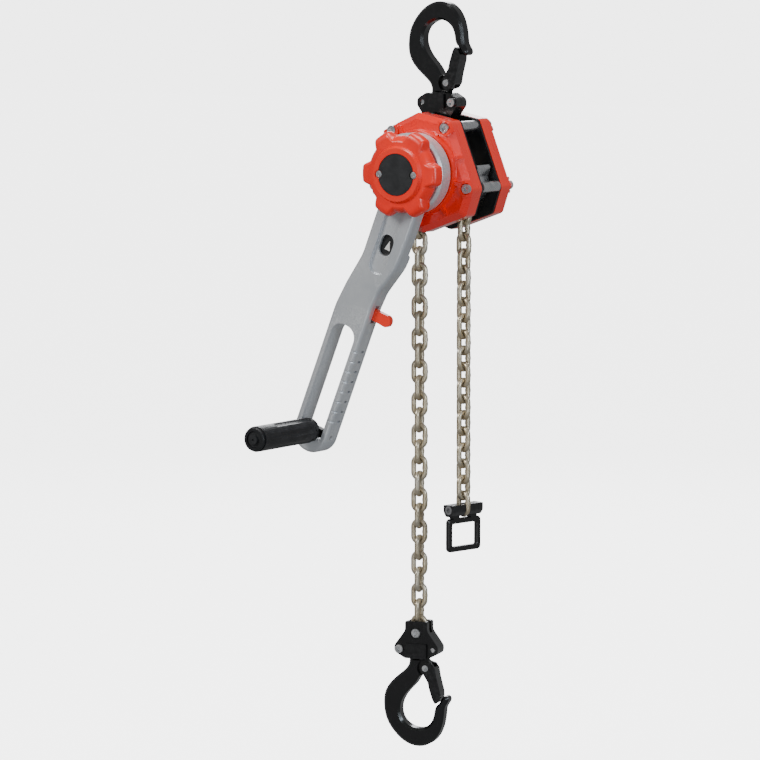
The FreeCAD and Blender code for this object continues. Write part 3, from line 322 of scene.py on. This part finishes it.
def chain_metal():
    m = Mat("chain", (0.50, 0.43, 0.31), 0.33, 0.8)
    a, b, c = m.noise(120, 4), m.noise(700, 4), m.noise(34, 3)
    color = m.mix(m.span(a, 0.0, 1.0), (0.42, 0.345, 0.225), (0.68, 0.60, 0.455))
    color = m.mix(m.span(c, 0.0, 0.55, 0.5, 0.7), color, (0.64, 0.615, 0.55))
    return m.finish(color, m.span(b, 0.24, 0.46), [(b, 0.25, 0.0002), (a, 0.12, 0.0005)])


def floor_mat():
    m = Mat("floor_white", (0.86, 0.86, 0.86), 0.7)
    a, b = m.noise(3, 3), m.noise(240, 3)
    color = m.mix(m.span(a, 0.0, 1.0), (0.84, 0.845, 0.85), (0.90, 0.90, 0.90))
    return m.finish(color, m.span(a, 0.6, 0.8), [(b, 0.05, 0.0004)])


def white_mark():
    m = Mat("white_mark", (0.85, 0.85, 0.84), 0.5)
    a, b = m.noise(300, 4), m.noise(1500, 2)
    color = m.mix(m.span(a, 0.0, 1.0), (0.78, 0.78, 0.77), (0.90, 0.90, 0.89))
    return m.finish(color, m.span(a, 0.4, 0.6), [(b, 0.1, 0.0001)])


MATS = {"black_forged": black_forged(), "black_plate": black_plate(), "black_plastic": black_plastic(), "black_rubber": black_rubber(),
        "orange_paint": orange_paint(), "orange_plastic": orange_plastic(), "aluminium": aluminium(), "zinc": zinc(), "steel": steel(),
        "bronze": bronze(), "friction": friction(), "chain": chain_metal()}
FLOOR = floor_mat()
fp = FLOOR.node_tree.nodes["Principled BSDF"]
fp.inputs["Emission Color"].default_value = (1, 1, 1, 1)
fp.inputs["Emission Strength"].default_value = 4.0
floor.data.materials.append(FLOOR)
floor.visible_diffuse = False
floor.visible_glossy = False
WHITE = white_mark()

for sp in frame["record"]["subparts"]:
    node = sp["node"]
    for o in (frame["nodes"][node] if isinstance(frame["nodes"][node], (list, tuple)) else [frame["nodes"][node]]):
        o = D.objects[o] if isinstance(o, str) else o
        for s in o.material_slots:
            s.material = MATS[sp["material_slot"]]

# ------------------------------------------------------------------ raised white mark in the sight window
def lever_xz(s, t):
    """A point on the lever in metres: s mm down from the hub along it, t mm across."""
    a = math.radians(21.8)
    return (-math.sin(a) * s + math.cos(a) * t) / 1000.0, (-math.cos(a) * s - math.sin(a) * t - 157.2) / 1000.0


def window_mark():
    """Raised arrow moulded on the plate behind the window, its edges rounded."""
    face_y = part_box("direction_plate")[0][1]
    outline = ARROW
    bm = bmesh.new()
    back = [bm.verts.new((lever_xz(s, t)[0], face_y + 0.0001, lever_xz(s, t)[1])) for s, t in outline]
    front = [bm.verts.new((lever_xz(s, t)[0], face_y - 0.00045, lever_xz(s, t)[1])) for s, t in outline]
    bm.faces.new(back)
    bm.faces.new(list(reversed(front)))
    for i in range(len(outline)):
        j = (i + 1) % len(outline)
        bm.faces.new((back[j], back[i], front[i], front[j]))
    bmesh.ops.recalc_face_normals(bm, faces=bm.faces)
    bmesh.ops.bevel(bm, geom=list(bm.edges), offset=0.00016, segments=2, affect="EDGES", clamp_overlap=True)
    mesh = D.meshes.new("window_arrow")
    bm.to_mesh(mesh)
    bm.free()
    for f in mesh.polygons:
        f.use_smooth = False
    o = col(D.objects.new("window_arrow", mesh))
    mesh.materials.append(WHITE)
    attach(o, "selector_link")
    return o


ARROW = [(75.4, 2.5), (85.7, 6.1), (85.8, -0.8)]
window_mark()

# ------------------------------------------------------------------ links at the case mouth
def travelling_links(name, node, body):
    """The links just inside the case, which travel with their fall of chain."""
    src = frame["nodes"][node]
    src = src[0] if isinstance(src, (list, tuple)) else src
    o = col(D.objects.new(name, src.data.copy()))
    o.data.materials.clear()
    o.data.materials.append(MATS["chain"])
    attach(o, body)
    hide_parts(node)
    return o


travelling_links("load_entry_links", "load_chain_entry", "load_fall")
travelling_links("slack_entry_links", "slack_chain_entry", "slack_fall")
